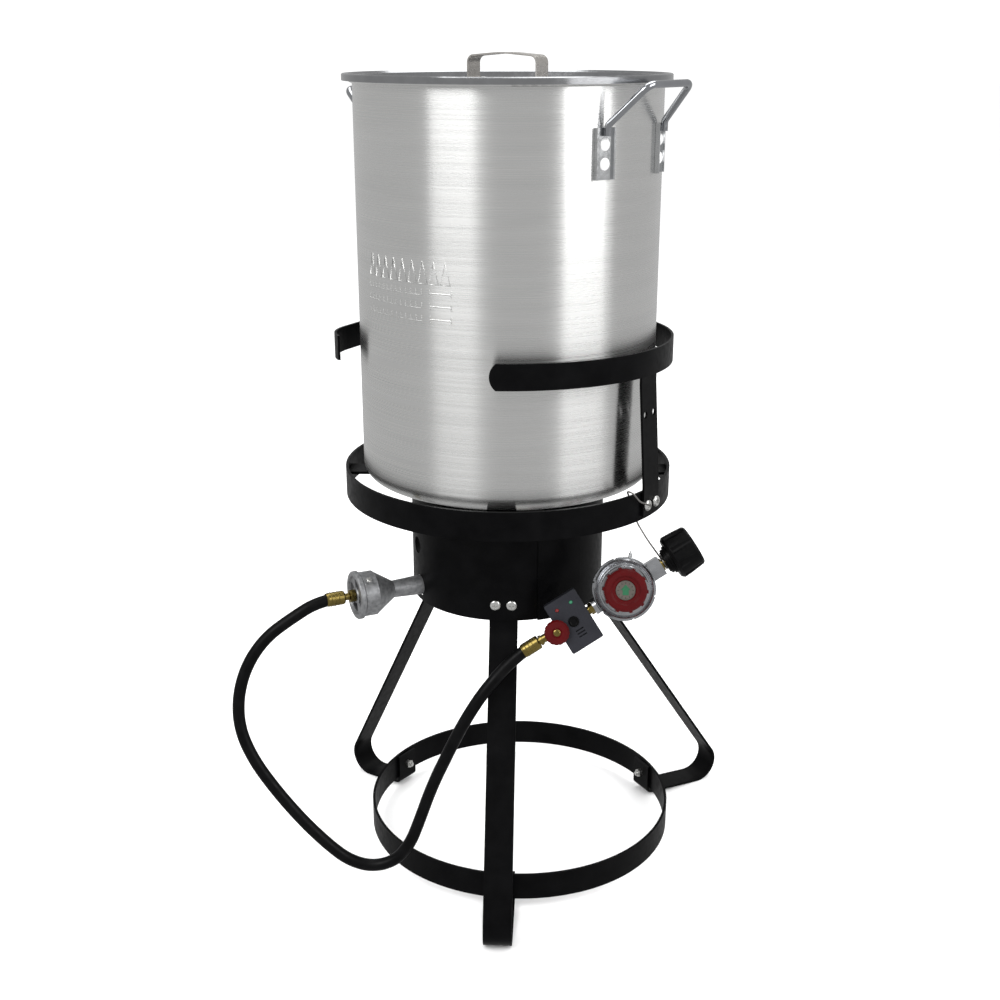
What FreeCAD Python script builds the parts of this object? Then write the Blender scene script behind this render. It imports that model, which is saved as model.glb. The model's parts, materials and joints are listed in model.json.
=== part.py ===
"""Turkey fryer kit: burner stand, gas control line and covered stock pot, in millimetres, +Z up.

The origin is on the floor, on the axis of the pot. The front of the stand faces -Y.
"""
import FreeCAD, Part
import math
import os

from FreeCAD import Placement, Rotation, Vector

doc = FreeCAD.newDocument("TurkeyFryerKit")
sheet = doc.addObject("Spreadsheet::Sheet", "Dimensions")

DIMENSIONS = {
    # bar stock shared by the stand
    "strap_thickness": 3.0,
    "strap_width": 30.0,
    # ring that carries the pot
    "ring_radius": 175.5,
    "ring_bottom": 433.0,
    "rest_height": 454.0,
    # heat shield
    "shield_radius": 105.0,
    "shield_bottom": 318.0,
    "shield_height": 118.0,
    "sheet_thickness": 1.2,
    "vent_hole_radius": 9.2,
    "vent_hole_height": 378.6,
    # floor ring, which sits off the pot axis
    "floor_ring_x": 15.0,
    "floor_ring_y": 17.0,
    "floor_ring_bottom": 13.0,
    "floor_bolt_height": 28.0,
    # legs
    "foot_bend": 24.0,
    "leg_screw_height": 336.0,
    "screw_pitch": 17.0,
    # guard around the pot
    "guard_radius": 174.3,
    "guard_bottom": 579.0,
    "guard_width": 26.0,
    "guard_thickness": 2.5,
    # burner and mixer
    "burner_radius": 56.0,
    "burner_top": 398.0,
    "mixer_height": 334.5,
    "mixer_azimuth": 205.0,
    "mixer_face": 176.0,
    "mixer_radius": 11.0,
    "bell_radius": 24.0,
    "shutter_radius": 26.0,
    # gas control line
    "regulator_x": 120.4,
    "regulator_y": -120.0,
    "regulator_z": 360.6,
    "line_slope": 32.3,
    "line_tilt": 18.0,
    "regulator_radius": 33.0,
    "knob_radius": 23.5,
    "timer_width": 37.0,
    "timer_length": 57.6,
    "timer_depth": 20.0,
    "hose_radius": 6.5,
    # pot and lid
    "pot_radius": 155.6,
    "pot_wall": 1.6,
    "pot_bottom": 454.2,
    "pot_top": 860.0,
    "lid_radius": 164.8,
    "handle_azimuth": -38.0,
    "lid_handle_width": 21.0,
}
for row, (alias, number) in enumerate(DIMENSIONS.items(), start=1):
    sheet.set("A%d" % row, alias)
    sheet.set("B%d" % row, str(number))
    sheet.setAlias("B%d" % row, alias)
doc.recompute()


def dim(alias):
    """A driving dimension, read back from the sheet."""
    return float(sheet.get(alias))


THICK = dim("strap_thickness")
WIDE = dim("strap_width")
FIT = 0.1       # gap left between pieces that lie against each other
SCREW_R = 2.5   # shank of the stand's screws
X_AXIS = Vector(1, 0, 0)
finished = []


# ---------------------------------------------------------------- helpers
def bind(obj, **expressions):
    for name, text in expressions.items():
        obj.setExpression(name, text)
    return obj


def done(obj, label, placement=None):
    """Name a finished sub-part, put it in place and list it for export."""
    obj.Label = label
    if placement is not None:
        obj.Placement = placement.multiply(obj.Placement)
    finished.append(obj)
    return obj


def polar(radius, azimuth, z=0.0):
    angle = math.radians(azimuth)
    return Vector(radius * math.cos(angle), radius * math.sin(angle), z)


def cylinder(radius, height, base=Vector(), axis=Vector(0, 0, 1)):
    return Part.makeCylinder(radius, height, base, axis)


def hexagon(across, height, base=Vector(), axis=Vector(0, 0, 1)):
    """Hexagonal prism of the given width across flats."""
    corner = across / math.sqrt(3)
    ring = [polar(corner, 60 * k + 30) for k in range(7)]
    prism = Part.Face(Part.makePolygon(ring)).extrude(Vector(0, 0, height))
    prism.Placement = Placement(base, Rotation(Vector(0, 0, 1), axis))
    return prism


def feature(label, shape, placement=None):
    """A sub-part whose form only Part's own functions give."""
    obj = doc.addObject("Part::Feature", label)
    obj.Shape = shape
    return done(obj, label, placement)


def origin_plane(body, role):
    return next(f for f in body.Origin.OriginFeatures if f.Role == role)


def new_body(label):
    return doc.addObject("PartDesign::Body", label)


def sketch_on(body, role, geometry):
    sketch = body.newObject("Sketcher::SketchObject", body.Name + "Sketch")
    sketch.AttachmentSupport = [(origin_plane(body, role), "")]
    sketch.MapMode = "FlatFace"
    sketch.addGeometry(geometry, False)
    return sketch


def outline(points):
    """Closed loop of straight lines through the points."""
    corners = [Vector(x, y, 0) for x, y in points]
    return [Part.LineSegment(a, b) for a, b in zip(corners, corners[1:] + corners[:1])]


def turned(label, points, placement=None, export=True):
    """Body of revolution: points are (radius, height) of half of its section."""
    body = new_body(label)
    sketch = sketch_on(body, "XZ_Plane", outline(points))
    spin = body.newObject("PartDesign::Revolution", label + "Turn")
    spin.Profile = sketch
    spin.ReferenceAxis = (sketch, ["V_Axis"])
    spin.Angle = 360.0
    if export:
        done(body, label, placement)
    elif placement is not None:
        body.Placement = placement
    return body


def strip_outline(points, radii, thickness):
    """Section of a bent strap: lines and concentric arcs either side of its centre line.

    points are the corners of the centre line, radii the bend radius at each inner corner.
    """
    path = [Vector(x, y, 0) for x, y in points]
    stops = [(path[0], path[0], None)]
    for before, corner, after, radius in zip(path, path[1:], path[2:], radii):
        back = (before - corner).normalize()
        ahead = (after - corner).normalize()
        half = back.getAngle(ahead) / 2
        reach = radius / math.tan(half)
        centre = corner + (back + ahead).normalize() * (radius / math.sin(half))
        stops.append((corner + back * reach, corner + ahead * reach, centre))
    stops.append((path[-1], path[-1], None))

    def side(offset):
        edges = []
        for (_, start, _), (end, leave, centre) in zip(stops, stops[1:]):
            along = (end - start).normalize()
            shift = Vector(-along.y, along.x, 0) * offset
            edges.append(Part.LineSegment(start + shift, end + shift))
            if centre is not None:
                first = end + shift
                size = (first - centre).Length
                into = (end - centre).normalize()
                out = (leave - centre).normalize()
                middle = centre + (into + out).normalize() * size
                edges.append(Part.Arc(first, middle, centre + out * size))
        return edges

    left, right = side(thickness / 2), side(-thickness / 2)
    caps = [Part.LineSegment(left[0].StartPoint, right[0].StartPoint),
            Part.LineSegment(left[-1].EndPoint, right[-1].EndPoint)]
    return left + right + caps


def strap(label, points, radii, width_cell, thickness):
    """Bent strap whose centre line lies in the XZ plane, padded both ways along Y."""
    body = new_body(label)
    sketch = sketch_on(body, "XZ_Plane", strip_outline(points, radii, thickness))
    pad = body.newObject("PartDesign::Pad", label + "Pad")
    pad.Profile = sketch
    pad.SideType = "Symmetric"
    bind(pad, Length="Dimensions." + width_cell)
    return body


def tube_path(points, radii):
    """Wire of straight runs joined by tangent arcs."""
    edges = []
    start = points[0]
    for before, corner, after, radius in zip(points, points[1:], points[2:], radii):
        back = (before - corner).normalize()
        ahead = (after - corner).normalize()
        half = back.getAngle(ahead) / 2
        reach = radius / math.tan(half)
        first, last = corner + back * reach, corner + ahead * reach
        centre = corner + (back + ahead).normalize() * (radius / math.sin(half))
        middle = centre + (corner - centre).normalize() * radius
        edges.append(Part.LineSegment(start, first).toShape())
        edges.append(Part.Arc(first, middle, last).toShape())
        start = last
    edges.append(Part.LineSegment(start, points[-1]).toShape())
    return Part.Wire(edges)


def rod(points, radii, radius):
    """Round bar or tube along a bent path."""
    path = tube_path(points, radii)
    direction = (points[1] - points[0]).normalize()
    section = Part.Wire(Part.makeCircle(radius, points[0], direction))
    return path.makePipeShell([section], True, False), path.Length


def drilled(label, base, holes, placement=None):
    """base with the holes cut out of it."""
    tool = doc.addObject("Part::Feature", label + "Holes")
    tool.Shape = Part.makeCompound(holes)
    cut = doc.addObject("Part::Cut", label + "Drilled")
    cut.Base = base
    cut.Tool = tool
    return done(cut, label, placement)


def band(name, radius, thickness, height, bottom, x="0", y="0"):
    """Cylindrical band of strap bound to the sheet; every argument after name is an expression."""
    outer = doc.addObject("Part::Cylinder", name + "Outer")
    inner = doc.addObject("Part::Cylinder", name + "Inner")
    bind(outer, Radius=radius, Height=height)
    bind(inner, Radius="(%s) - (%s)" % (radius, thickness), Height=height)
    for part in (outer, inner):
        part.setExpression("Placement.Base.x", x)
        part.setExpression("Placement.Base.y", y)
        part.setExpression("Placement.Base.z", bottom)
    cut = doc.addObject("Part::Cut", name + "Band")
    cut.Base = outer
    cut.Tool = inner
    return cut


def pan_screw(length, head_radius=5.75, head_height=3.2, shank=SCREW_R):
    """Cross-recessed pan-head screw: its head rises along +Z from the origin."""
    crown = cylinder(head_radius, head_height)
    crown = crown.makeFillet(head_height * 0.7, [crown.Edges[0]])
    depth = head_height * 0.6
    blades = [Part.makeBox(head_radius, 1.2, depth, Vector(-head_radius / 2, -0.6, head_height - depth)),
              Part.makeBox(1.2, head_radius, depth, Vector(-0.6, -head_radius / 2, head_height - depth))]
    return crown.cut(blades).fuse(cylinder(shank, length, Vector(0, 0, -length))).removeSplitter()


def lock_nut(across, height, bore):
    """Hexagon nut with a round collar, threaded on from the origin towards +Z."""
    collar = cylinder(across * 0.42, height * 0.3, Vector(0, 0, height))
    return hexagon(across, height).fuse(collar).cut(cylinder(bore, height * 2, Vector(0, 0, -1)))


def spun(points):
    """Solid of revolution about Z from the (radius, height) corners of half of its section."""
    loop = [Vector(r, 0, z) for r, z in points + points[:1]]
    return Part.Face(Part.makePolygon(loop)).revolve(Vector(), Vector(0, 0, 1), 360)


def along(shape, base, direction):
    """shape with its +Z turned to the direction and its origin moved to base."""
    return shape.transformed(Placement(base, Rotation(Vector(0, 0, 1), direction)).toMatrix())


def reach_inside(radius, shift):
    """How far out the flat outer face of a strap lies inside a ring, off its middle by shift."""
    return math.sqrt((radius - FIT) ** 2 - (abs(shift) + WIDE / 2) ** 2)


# ---------------------------------------------------------------- support ring
GUARD_AZIMUTHS = {"front": -34.5, "rear": 125.0}
RING_R = dim("ring_radius")
RING_Z = dim("ring_bottom")
GUARD_SCREW_Z = RING_Z + WIDE / 2
PITCH = dim("screw_pitch")


def side_by_side(azimuth, radius, z):
    """Points of a pair of screws either side of a radial line, and the line's direction."""
    outward = polar(1, azimuth)
    across = polar(1, azimuth + 90)
    middle = outward * radius + Vector(0, 0, z)
    return [middle - across * PITCH / 2, middle + across * PITCH / 2], outward


guard_screw_holes = []
for azimuth in GUARD_AZIMUTHS.values():
    places, outward = side_by_side(azimuth, RING_R - 15, GUARD_SCREW_Z)
    guard_screw_holes += [cylinder(SCREW_R + FIT, 30, place, outward) for place in places]

ring = band("Ring", "Dimensions.ring_radius", "Dimensions.strap_thickness",
            "Dimensions.strap_width", "Dimensions.ring_bottom")
drilled("support_ring", ring, guard_screw_holes)

bar = doc.addObject("Part::Box", "PotBar")
half_length = ("sqrt((Dimensions.ring_radius - Dimensions.strap_thickness - 0.1)^2"
               " - (Dimensions.strap_width / 2)^2)")
bind(bar, Length="2 * " + half_length, Width="Dimensions.strap_width", Height="Dimensions.strap_thickness")
bar.setExpression("Placement.Base.x", "-1 * " + half_length)
bar.setExpression("Placement.Base.y", "-Dimensions.strap_width / 2")
bar.setExpression("Placement.Base.z", "Dimensions.rest_height - Dimensions.strap_thickness")
done(bar, "pot_bar")


# ---------------------------------------------------------------- legs
# Each leg stands in an upright plane: its azimuth, how far that plane passes from the pot
# axis, and how far out its foot reaches. The floor ring is off centre, so the legs differ.
LEGS = {"front": (-92.5, 0.5, 239.0), "right": (30.0, -9.0, 293.0), "left": (143.0, -10.0, 244.5)}
RING_BORE = RING_R - THICK
SHIELD_R = dim("shield_radius")
SHIELD_BORE = SHIELD_R - dim("sheet_thickness")
FLOOR_CENTRE = Vector(dim("floor_ring_x"), dim("floor_ring_y"), 0)
FLOOR_Z = dim("floor_ring_bottom")
BOLT_Z = dim("floor_bolt_height")
LEG_SCREW_Z = dim("leg_screw_height")
ARM_Z = dim("rest_height") - THICK / 2
TAB_CORNER_Z = FLOOR_Z - 6.0
SHIN_TOP_Z = dim("shield_bottom") - 9.0


def leg_frame(azimuth, shift):
    """Start, outward and crossways directions of a leg's plane, and the floor ring seen from it."""
    outward, across = polar(1, azimuth), polar(1, azimuth + 90)
    start = across * shift
    ring_along = FLOOR_CENTRE.dot(outward)
    ring_shift = FLOOR_CENTRE.dot(across) - shift
    tab_face = ring_along + reach_inside(RING_BORE, ring_shift)
    return start, outward, across, tab_face


def tangent_point(point, centre, radius, side):
    """Where the line from point touches the circle, on its left (1) or right (-1)."""
    gap = centre - point
    swing = side * math.asin(radius / gap.Length)
    reach = math.sqrt(gap.Length ** 2 - radius ** 2)
    heading = math.atan2(gap.y, gap.x) + swing
    return point + Vector(math.cos(heading), math.sin(heading), 0) * reach


def crossing(a, b, c, d):
    """Where the line a-b meets the line c-d."""
    first, second = b - a, d - c
    share = ((c - a).x * second.y - (c - a).y * second.x) / (first.x * second.y - first.y * second.x)
    return a + first * share


def leg_points(shift, reach, tab_face):
    """Corners of a leg's centre line as (out, up): arm, shield wall, foot, tab."""
    wall = reach_inside(SHIELD_BORE, shift) - THICK / 2
    arm_end = reach_inside(RING_BORE, shift)
    knee = Vector(wall, SHIN_TOP_Z, 0)
    toe = Vector(tab_face - THICK / 2, TAB_CORNER_Z, 0)
    bend = dim("foot_bend")
    hub = Vector(reach - THICK / 2 - bend, bend + THICK / 2, 0)
    shin = tangent_point(knee, hub, bend, 1)
    sole = tangent_point(toe, hub, bend, -1)
    heel = crossing(knee, shin, toe, sole)
    return [(arm_end, ARM_Z), (wall, ARM_Z), (knee.x, knee.y), (heel.x, heel.y),
            (toe.x, toe.y), (toe.x, FLOOR_Z + WIDE - 1)]


LEG_BENDS = [8.0, 30.0, dim("foot_bend"), 4.6]
leg_screws, leg_nuts, shield_holes = [], [], []
base_screws, base_nuts, floor_ring_holes = [], [], []
for name, (azimuth, shift, reach) in LEGS.items():
    start, outward, across, tab_face = leg_frame(azimuth, shift)
    points = leg_points(shift, reach, tab_face)
    leg = strap("leg_%s_strap" % name, points, LEG_BENDS, "strap_width", THICK)
    wall_face = points[1][0] + THICK / 2
    holes = []
    for half in (-0.5, 0.5):
        lateral = PITCH * half
        nearest = max(0.0, abs(shift + lateral) - 5.75)
        seat = math.sqrt(SHIELD_R ** 2 - nearest ** 2) + FIT
        place = start + across * lateral + Vector(0, 0, LEG_SCREW_Z)
        holes.append(cylinder(SCREW_R + FIT, 60, place + outward * 70, outward))
        length = seat - wall_face + THICK + 7
        leg_screws.append(along(pan_screw(length), place + outward * seat, outward))
        leg_nuts.append(along(lock_nut(8.0, 4.0, SCREW_R + 0.05),
                              place + outward * (wall_face - THICK - FIT), outward * -1))
    shield_holes += holes
    bolt = start + Vector(0, 0, BOLT_Z)
    outer_face = tab_face - reach_inside(RING_BORE, 0) + RING_R + 2.2
    through = cylinder(SCREW_R + FIT, 60, bolt + outward * (tab_face - 30), outward)
    floor_ring_holes.append(through)
    length = outer_face - tab_face + THICK + 8
    base_screws.append(along(pan_screw(length), bolt + outward * outer_face, outward))
    base_nuts.append(along(lock_nut(9.0, 4.5, SCREW_R + 0.05),
                           bolt + outward * (tab_face - THICK - FIT), outward * -1))
    leg.Placement = Placement(start, Rotation(Vector(0, 0, 1), azimuth))
    drilled("leg_" + name, leg, holes + [through])
feature("leg_screws", Part.makeCompound(leg_screws))
feature("leg_nuts", Part.makeCompound(leg_nuts))

floor_ring = band("FloorRing", "Dimensions.ring_radius", "Dimensions.strap_thickness",
                  "Dimensions.strap_width", "Dimensions.floor_ring_bottom",
                  "Dimensions.floor_ring_x", "Dimensions.floor_ring_y")
drilled("base_ring", floor_ring, floor_ring_holes)
feature("base_screws", Part.makeCompound(base_screws))
feature("base_nuts", Part.makeCompound(base_nuts))


# ---------------------------------------------------------------- heat shield
MIXER_Z = dim("mixer_height")
MIXER_AZIMUTH = dim("mixer_azimuth")
LAP_START, LAP_END = -72.5, -43.5   # where the rolled sheet overlaps itself
shell = band("Shield", "Dimensions.shield_radius", "Dimensions.sheet_thickness",
             "Dimensions.shield_height", "Dimensions.shield_bottom")
lap = band("ShieldLap", "Dimensions.shield_radius + Dimensions.sheet_thickness",
           "Dimensions.sheet_thickness + 0.1", "Dimensions.shield_height", "Dimensions.shield_bottom - 0.8")
for part in (doc.ShieldLapOuter, doc.ShieldLapInner):
    part.Angle = LAP_END - LAP_START
    part.Placement.Rotation = Rotation(Vector(0, 0, 1), LAP_START)
doc.ShieldLapInner.Angle = 360
shield = doc.addObject("Part::Fuse", "ShieldSheet")
shield.Base = shell
shield.Tool = lap
mixer_axis = polar(1, MIXER_AZIMUTH)
VENT_AZIMUTH = 201.5
mixer_way = Vector(0, 0, MIXER_Z) + mixer_axis * 70
vent_way = polar(70, VENT_AZIMUTH, dim("vent_hole_height"))
shield_holes.append(cylinder(dim("mixer_radius") + 0.5, 60, mixer_way, mixer_axis))
shield_holes.append(cylinder(dim("vent_hole_radius"), 60, vent_way, polar(1, VENT_AZIMUTH)))
drilled("heat_shield", shield, shield_holes)


# ---------------------------------------------------------------- guard around the pot
GUARD_R = dim("guard_radius") - dim("guard_thickness") / 2
GUARD_Z = dim("guard_bottom")
GUARD_TOP = GUARD_Z + dim("guard_width")
GUARD_TILT = 1.5        # the hoop was welded on a little high at the front


def hoop_lift(azimuth):
    """How much higher the tilted hoop is at an azimuth than on the pot's axis."""
    return -GUARD_R * math.sin(math.radians(azimuth)) * math.tan(math.radians(GUARD_TILT))


def guard_hoop():
    """Open hoop of strap: a long arc, then a tail that flares off and curls back in."""
    front, leave, flare, curl = -95.9, 155.0, 45.0, 70.0
    tail_angle = 50.0
    arc_start, arc_end = polar(GUARD_R, front), polar(GUARD_R, leave)
    heading = polar(1, leave + 90)
    flare_end = arc_end + heading * flare
    hub = flare_end + polar(curl, leave + 180)
    tail_end = hub + polar(curl, leave + tail_angle)
    edges = [Part.Arc(arc_start, polar(GUARD_R, (front + leave) / 2), arc_end).toShape(),
             Part.LineSegment(arc_end, flare_end).toShape(),
             Part.Arc(flare_end, hub + polar(curl, leave + tail_angle / 2), tail_end).toShape()]
    centre = Part.Wire(edges)
    centre.translate(Vector(0, 0, GUARD_Z))
    half = dim("guard_thickness") / 2
    spare = 20.0
    low, high = GUARD_Z - spare, GUARD_TOP + spare
    corners = [(half, low), (-half, low), (-half, high), (half, high), (half, low)]
    section = Part.makePolygon([polar(GUARD_R + out, front, z) for out, z in corners])
    wall = centre.makePipeShell([section], True, False)
    # a tilted slab, as thick as the strap is wide, takes the hoop out of the tall wall
    reach, middle = 2 * GUARD_R, (GUARD_Z + GUARD_TOP) / 2
    slab = Part.makeBox(2 * reach, 2 * reach, dim("guard_width"),
                        Vector(-reach, -reach, -dim("guard_width") / 2))
    slab.Placement = Placement(Vector(0, 0, middle), Rotation(X_AXIS, -GUARD_TILT))
    hoop = wall.common(slab)
    # the front end is rounded, a little flatter than a half circle
    tip = dim("guard_width") / 2
    blunt = 1.28 * tip
    turn_at = polar(GUARD_R - 20, front + math.degrees(blunt / GUARD_R), middle + hoop_lift(front))
    facing = Vector(turn_at.x, turn_at.y, 0).normalize()
    waste = Part.makeBox(2 * blunt, 2 * tip + 8, 40, Vector(-2 * blunt - math.sqrt(blunt ** 2 - tip ** 2) + 2,
                                                            -tip - 4, 0))
    waste = waste.cut(cylinder(blunt, 40))
    waste.Placement = Placement(turn_at, Rotation(polar(1, front + 90), Vector(0, 0, 1), facing, "ZXY"))
    return hoop.cut(waste)


feature("guard_hoop", guard_hoop())

guard_screws, guard_nuts = [], []
guard_inner = dim("guard_radius") - dim("guard_thickness")
upright_low = RING_R + FIT + dim("guard_thickness") / 2
upright_high = math.sqrt((guard_inner - FIT) ** 2 - (WIDE / 2) ** 2) - dim("guard_thickness") / 2
SPARE_HOLE_Z = 542.0
for name, azimuth in GUARD_AZIMUTHS.items():
    lift = hoop_lift(azimuth)
    points = [(upright_low, RING_Z + 4), (upright_low, RING_Z + WIDE + 5),
              (upright_high, GUARD_Z - 8 + lift), (upright_high, GUARD_TOP - 1 + lift)]
    upright = strap("guard_upright_%s_strap" % name, points, [40.0, 40.0], "strap_width",
                    dim("guard_thickness"))
    upright.Placement = Placement(Vector(), Rotation(Vector(0, 0, 1), azimuth))
    places, outward = side_by_side(azimuth, RING_R - 15, GUARD_SCREW_Z)
    spare, _ = side_by_side(azimuth, RING_R - 15, SPARE_HOLE_Z)
    holes = [cylinder(SCREW_R + FIT, 30, place, outward) for place in places]
    holes += [cylinder(3.6, 30, place, outward) for place in spare]
    drilled("guard_upright_" + name, upright, holes)
    seats, _ = side_by_side(azimuth, upright_low + dim("guard_thickness") / 2 + FIT, GUARD_SCREW_Z)
    guard_screws += [along(pan_screw(14), seat, outward) for seat in seats]
    inner = math.sqrt(RING_BORE ** 2 - (PITCH / 2 + 4.5) ** 2) - FIT
    backs, _ = side_by_side(azimuth, inner, GUARD_SCREW_Z)
    guard_nuts += [along(lock_nut(8.0, 4.0, SCREW_R + 0.05), back, outward * -1) for back in backs]
feature("guard_screws", Part.makeCompound(guard_screws))
feature("guard_nuts", Part.makeCompound(guard_nuts))


# ---------------------------------------------------------------- burner and mixer
# These are turned about the mixer's own axis, which points out of the shield.
BURNER_TOP = dim("burner_top")
BURNER_R = dim("burner_radius")
SOCKET_R = dim("mixer_radius") + 5
SOCKET_END = 46.0
STEM_R = 15.0
LUG = 30.0
BRACKET_Z = 366.0
mixer_turn = Rotation(Vector(0, 0, 1), mixer_axis)


def burner_head():
    """Cast head: ported bowl on an elbow whose socket takes the mixer tube."""
    head = spun([(0, BURNER_TOP - 6), (18, BURNER_TOP - 4), (BURNER_R - 12, BURNER_TOP),
                 (BURNER_R - 4, BURNER_TOP - 3), (BURNER_R, BURNER_TOP - 10), (BURNER_R - 3, BURNER_TOP - 20),
                 (22, BURNER_TOP - 25), (STEM_R, BURNER_TOP - 29), (STEM_R, MIXER_Z), (0, MIXER_Z)])
    elbow = Part.makeSphere(STEM_R + 3, Vector(0, 0, MIXER_Z))
    socket = cylinder(SOCKET_R, SOCKET_END, Vector(0, 0, MIXER_Z), mixer_axis)
    boss = cylinder(7, BURNER_TOP - 15 - BRACKET_Z - THICK - FIT,
                    mixer_axis * -LUG + Vector(0, 0, BRACKET_Z + THICK + FIT))
    bore_end = Vector(0, 0, MIXER_Z) + mixer_axis * 20
    bore = cylinder(dim("mixer_radius") + 0.05, SOCKET_END, bore_end, mixer_axis)
    throat = cylinder(9.5, BURNER_TOP - 30 - MIXER_Z, Vector(0, 0, MIXER_Z))
    inlet = cylinder(8, 30, Vector(0, 0, MIXER_Z), mixer_axis)
    bolt_hole = cylinder(3.05, 16, mixer_axis * -LUG + Vector(0, 0, BRACKET_Z))
    ports = []
    for ring_radius, count in ((BURNER_R - 9, 36), (BURNER_R - 18, 24)):
        for k in range(count):
            ports.append(cylinder(1.3, 7, polar(ring_radius, 360.0 * k / count, BURNER_TOP - 5.5)))
    head = head.fuse([elbow, socket, boss]).removeSplitter()
    return head.cut([bore, throat, inlet, bolt_hole] + ports)


feature("burner_head", burner_head())


def burner_bracket():
    """Flat bar across the shield, just behind the elbow, with upturned ends on the wall."""
    half = math.sqrt((SHIELD_BORE - 0.3) ** 2 - (LUG + 10) ** 2)
    points = [(-half + THICK / 2, BRACKET_Z + 16), (-half + THICK / 2, BRACKET_Z + THICK / 2),
              (half - THICK / 2, BRACKET_Z + THICK / 2), (half - THICK / 2, BRACKET_Z + 16)]
    body = new_body("burner_bracket_strap")
    sketch = sketch_on(body, "XZ_Plane", strip_outline(points, [5.0, 5.0], THICK))
    pad = body.newObject("PartDesign::Pad", "burner_bracket_pad")
    pad.Profile = sketch
    pad.SideType = "Symmetric"
    pad.Length = 20.0
    body.Placement = Placement(mixer_axis * -LUG, Rotation(Vector(0, 0, 1), MIXER_AZIMUTH - 90))
    hole = cylinder(3.2, 20, mixer_axis * -LUG + Vector(0, 0, BRACKET_Z - 5))
    drilled("burner_bracket", body, [hole])


burner_bracket()
bolt_head = hexagon(10.0, 4.0, Vector(0, 0, -4))
burner_bolt = bolt_head.fuse(cylinder(3.0, 15)).removeSplitter()
feature("burner_bolt", along(burner_bolt, mixer_axis * -LUG + Vector(0, 0, BRACKET_Z - FIT), Vector(0, 0, 1)))

FACE = dim("mixer_face")
BELL_R = dim("bell_radius")
TUBE_R = dim("mixer_radius")
mixer_home = Placement(Vector(0, 0, MIXER_Z), mixer_turn)
BELL_BACK = FACE - 18
NECK = FACE - 39


def venturi_mixer():
    """Cast mixer: tube from the burner, cone and bell with a windowed end wall."""
    outer = [(TUBE_R, 22), (TUBE_R, SHIELD_R - 4), (9.3, NECK), (BELL_R - 1, BELL_BACK),
             (BELL_R, BELL_BACK + 1), (BELL_R, FACE - 2), (5.2, FACE - 2)]
    inner = [(5.2, FACE - 5), (BELL_R - 3, FACE - 5), (BELL_R - 3, BELL_BACK + 1), (7.2, NECK + 1),
             (7.2, 60), (8.5, 22)]
    return spun(outer + inner).cut([air_window(FACE - 7, 8, 90 * k) for k in range(4)])


def air_window(bottom, depth, azimuth):
    """Curved slot between two radii, 50 degrees long."""
    ring = cylinder(18.0, depth, Vector(0, 0, bottom)).cut(cylinder(9.0, depth, Vector(0, 0, bottom)))
    wedge = Part.makeCylinder(30, depth, Vector(0, 0, bottom), Vector(0, 0, 1), 50)
    wedge.rotate(Vector(), Vector(0, 0, 1), azimuth - 25)
    return ring.common(wedge)


feature("venturi_mixer", venturi_mixer(), mixer_home)


SHUTTER_REST = 12.0     # degrees by which the shutter's windows are off the casting's


def air_shutter():
    """Turning air shutter: windowed plate with a thick rim, free on the orifice fitting."""
    rim_r = dim("shutter_radius")
    disc = spun([(5.3, FACE - 1.7), (rim_r - 2, FACE - 1.7), (rim_r, FACE - 0.7), (rim_r, FACE + 3.2),
                 (rim_r - 1.2, FACE + 4.4), (rim_r - 5, FACE + 4.4), (rim_r - 6, FACE + 2.2), (9, FACE + 2.2),
                 (8, FACE + 3.4), (5.3, FACE + 3.4)])
    return disc.cut([air_window(FACE - 3, 9, 90 * k + SHUTTER_REST) for k in range(4)])


feature("air_shutter", air_shutter(), mixer_home)

lock_screws = []
for azimuth in (-12.0, 168.0):
    stem = cylinder(1.6, 4.6, polar(BELL_R + FIT, azimuth, FACE - 7), polar(1, azimuth))
    knob = cylinder(3.0, 2.4, polar(BELL_R + 1.2, azimuth, FACE - 7), polar(1, azimuth))
    lock_screws.append(stem.fuse(knob).removeSplitter())
feature("mixer_screws", Part.makeCompound(lock_screws), mixer_home)

FERRULE_START = FACE + 16
HOSE_START = FACE + 36
turned("orifice_fitting", [(0, FACE - 14), (2.2, FACE - 14), (3.4, FACE - 10), (5.0, FACE - 9),
                           (5.0, FACE + 3.8), (6.6, FACE + 4.0), (6.6, FACE + 10), (3.8, FACE + 11),
                           (3.8, FERRULE_START + 6), (0, FERRULE_START + 6)], mixer_home)


def ferrule(start, length, radius, stem, hose):
    """Crimped brass sleeve between a stem at its start and the hose at its far end."""
    section = [(stem, start), (radius - 0.8, start), (radius, start + 1.5), (radius, start + length - 2),
               (radius - 0.5, start + length), (hose, start + length), (hose, start + 7), (stem, start + 7)]
    return section


FERRULE_R = 7.45
HOSE_R = dim("hose_radius")
turned("hose_ferrule_burner", ferrule(FERRULE_START, 20, FERRULE_R, 3.85, HOSE_R + 0.05), mixer_home)


# ---------------------------------------------------------------- gas control line
# Its own frame: X runs up the line to the cylinder nut, Z comes out of its face.
def line_frame():
    tilt, slope = math.radians(dim("line_tilt")), math.radians(dim("line_slope"))
    right = Vector(1, 0, 0)
    upward = Vector(0, math.sin(tilt), math.cos(tilt))
    x_axis = right * math.cos(slope) + upward * math.sin(slope)
    y_axis = right * -math.sin(slope) + upward * math.cos(slope)
    centre = Vector(dim("regulator_x"), dim("regulator_y"), dim("regulator_z"))
    return Placement(centre, Rotation(x_axis, y_axis, x_axis.cross(y_axis), "XYZ"))


line = line_frame()
REG_R = dim("regulator_radius")
LINE_Z = -8.0           # the gas way runs this far behind the regulator's clamped flange
BLOCK = (28.0, 46.0)    # where the inlet block starts and ends along the line
BOSS = (-37.0, -26.0)   # the same for the outlet boss


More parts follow.
